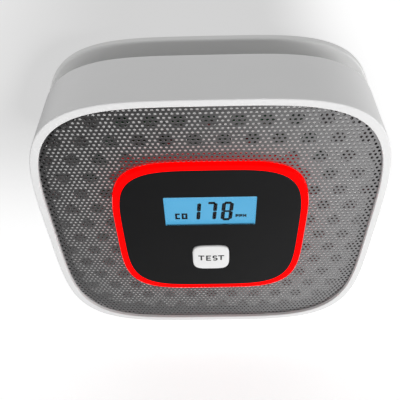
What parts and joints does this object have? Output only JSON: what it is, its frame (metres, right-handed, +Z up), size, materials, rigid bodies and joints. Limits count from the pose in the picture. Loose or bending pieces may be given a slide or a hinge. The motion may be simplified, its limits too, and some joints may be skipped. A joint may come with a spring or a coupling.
{
  "type": "carbon monoxide alarm",
  "caption": "Square soft-cornered gas alarm with a steel mesh front, glowing ring, lit display, test button and twist-off mounting plate.",
  "frame": {"origin": "centre of the mounting plate's back face, on the wall", "axes": "-Y out of the face towards the room, +Y into the wall, +Z up, +X to the right of someone facing the alarm"},
  "size_m": [0.115, 0.0356, 0.115],
  "materials": {
    "casing_white": "glossy moulded white",
    "vent_white": "satin moulded white",
    "mesh_steel": "smooth perforated sheet",
    "light_red": "translucent red, glowing",
    "panel_black": "satin black",
    "window_clear": "clear window",
    "display_blue": "lit blue display",
    "backlight_white": "diffuser",
    "frame_ivory": "moulded",
    "rubber_grey": "striped elastomer",
    "button_white": "satin white",
    "switch_black": "moulded black",
    "plunger_brown": "moulded",
    "board_green": "solder mask",
    "led_red": "clear red lens",
    "chip_black": "moulded epoxy",
    "capacitor_can": "drawn can",
    "ferrite_copper": "ferrite with copper winding",
    "brass_disc": "rolled",
    "sensor_steel": "drawn can",
    "filter_white": "moulded",
    "pin_gold": "plated",
    "screw_zinc": "zinc plated",
    "cell_wrap": "printed sleeve without marks",
    "contact_nickel": "nickel plated",
    "foam_grey": "closed foam",
    "gasket_black": "moulded strip"
  },
  "bodies": {
    "mounting_plate": {"mounting_plate": "casing_white"},
    "alarm_head": {"front_cover": "casing_white", "mesh_grille": "mesh_steel", "mesh_gasket": "gasket_black", "vent_plate": "vent_white", "light_ring": "light_red", "fascia_panel": "panel_black", "lcd_window": "window_clear", "lcd_glass": "display_blue", "lcd_backlight": "backlight_white", "lcd_frame": "frame_ivory", "lcd_rubber_connector": "rubber_grey", "test_switch": "switch_black", "main_board": "board_green", "ring_leds": "led_red", "control_chips": "chip_black", "board_capacitors": "capacitor_can", "step_up_coil": "ferrite_copper", "sounder_case": "switch_black", "sounder_disc": "brass_disc", "gas_sensor": "sensor_steel", "sensor_filter_cap": "filter_white", "sensor_pins": "pin_gold", "rear_housing": "casing_white", "case_screws": "screw_zinc", "board_screws": "screw_zinc", "battery_cells": "cell_wrap", "battery_springs": "contact_nickel", "battery_plates": "contact_nickel", "battery_tabs": "contact_nickel"},
    "test_button": {"test_button": "button_white"},
    "switch_plunger": {"switch_plunger": "plunger_brown"},
    "battery_door": {"battery_door": "casing_white", "door_foam_strip": "foam_grey"}
  },
  "joints": [
    {"name": "head_twist", "type": "hinge", "parent": "mounting_plate", "child": "alarm_head", "pos_m": [0, 0, 0], "axis": [0, -1, 0], "range_deg": [0, 30]},
    {"name": "button_press", "type": "slide", "parent": "alarm_head", "child": "test_button", "axis": [0, 1, 0], "range_m": [0, 0.0008], "stiffness_N_per_m": 1500, "springref_m": -0.0004},
    {"name": "plunger_press", "type": "slide", "parent": "alarm_head", "child": "switch_plunger", "axis": [0, 1, 0], "range_m": [0, 0.0008]},
    {"name": "door_swing", "type": "hinge", "parent": "alarm_head", "child": "battery_door", "pos_m": [0, -0.0016, -0.0152], "axis": [-1, 0, 0], "range_deg": [0, 105]}
  ],
  "couplings": [
    {"joint": "plunger_press", "follows": "button_press", "ratio": 1}
  ]
}
